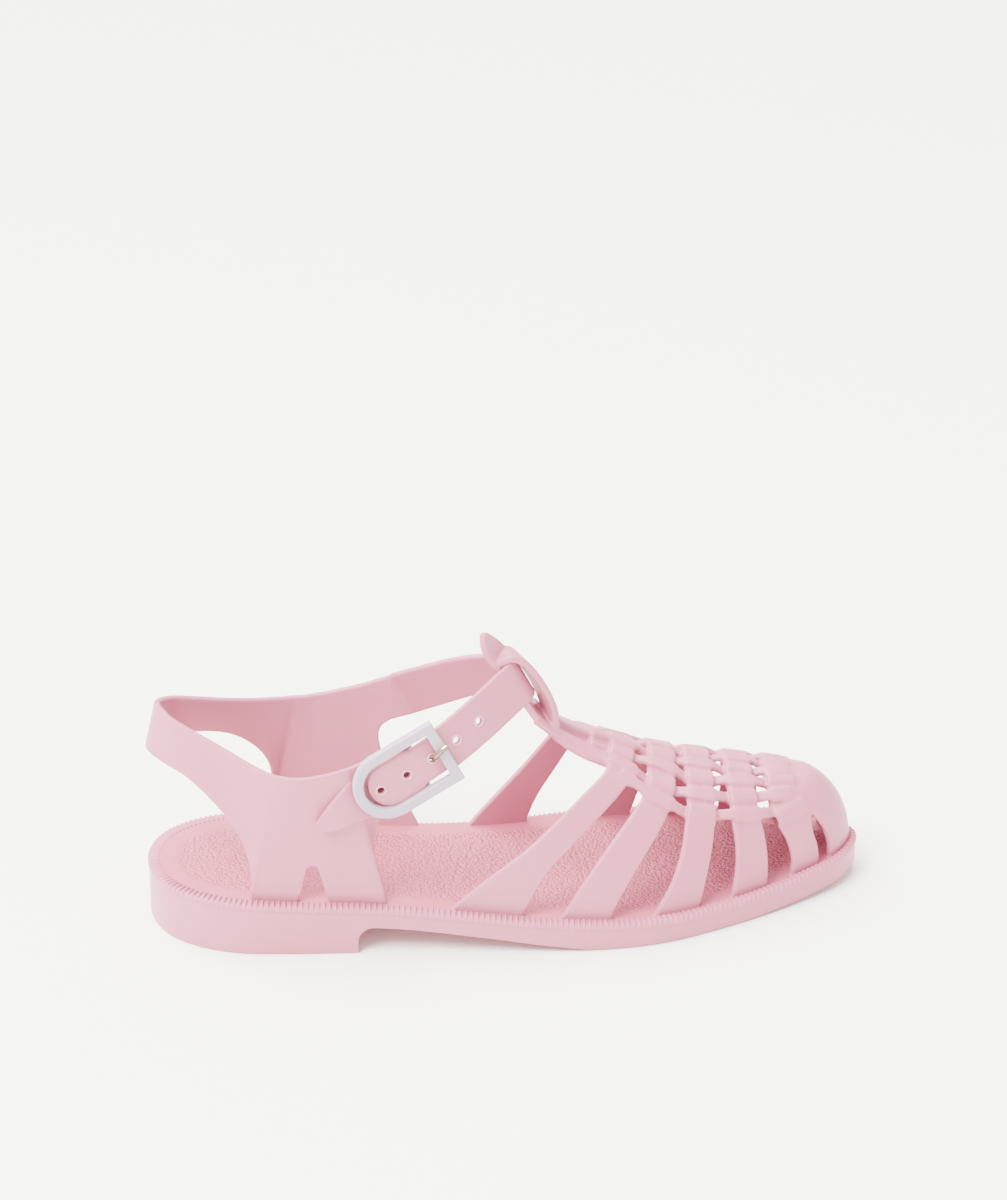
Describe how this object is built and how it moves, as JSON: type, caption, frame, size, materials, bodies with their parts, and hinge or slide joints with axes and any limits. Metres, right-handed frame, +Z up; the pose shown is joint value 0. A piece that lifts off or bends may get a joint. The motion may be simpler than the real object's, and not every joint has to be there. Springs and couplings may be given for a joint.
{
  "type": "jelly sandal",
  "caption": "Closed-toe jelly sandal with a woven strap vamp, T-bar loop, buckled ankle strap, heel strap and low block heel.",
  "frame": {"origin": "centre of the footprint at the flat underside of the heel and forefoot", "axes": "+X from heel to toe, +Y towards the medial side, +Z up; the buckle is on the -Y (lateral) side"},
  "size_m": [0.2546, 0.0826, 0.1064],
  "materials": {
    "sole_plastic": "satin moulded soft PVC, pale pink",
    "insole_plastic": "satin moulded soft PVC with a fine raised texture, pink",
    "upper_plastic": "satin moulded soft PVC, pale pink, slightly translucent",
    "buckle_plastic": "milky white translucent plastic",
    "prong_metal": "bright pale gold wire"
  },
  "bodies": {
    "root": {"sole": "sole_plastic", "insole": "insole_plastic", "upper": "upper_plastic", "buckle_frame": "buckle_plastic", "buckle_prong": "prong_metal"}
  },
  "joints": []
}
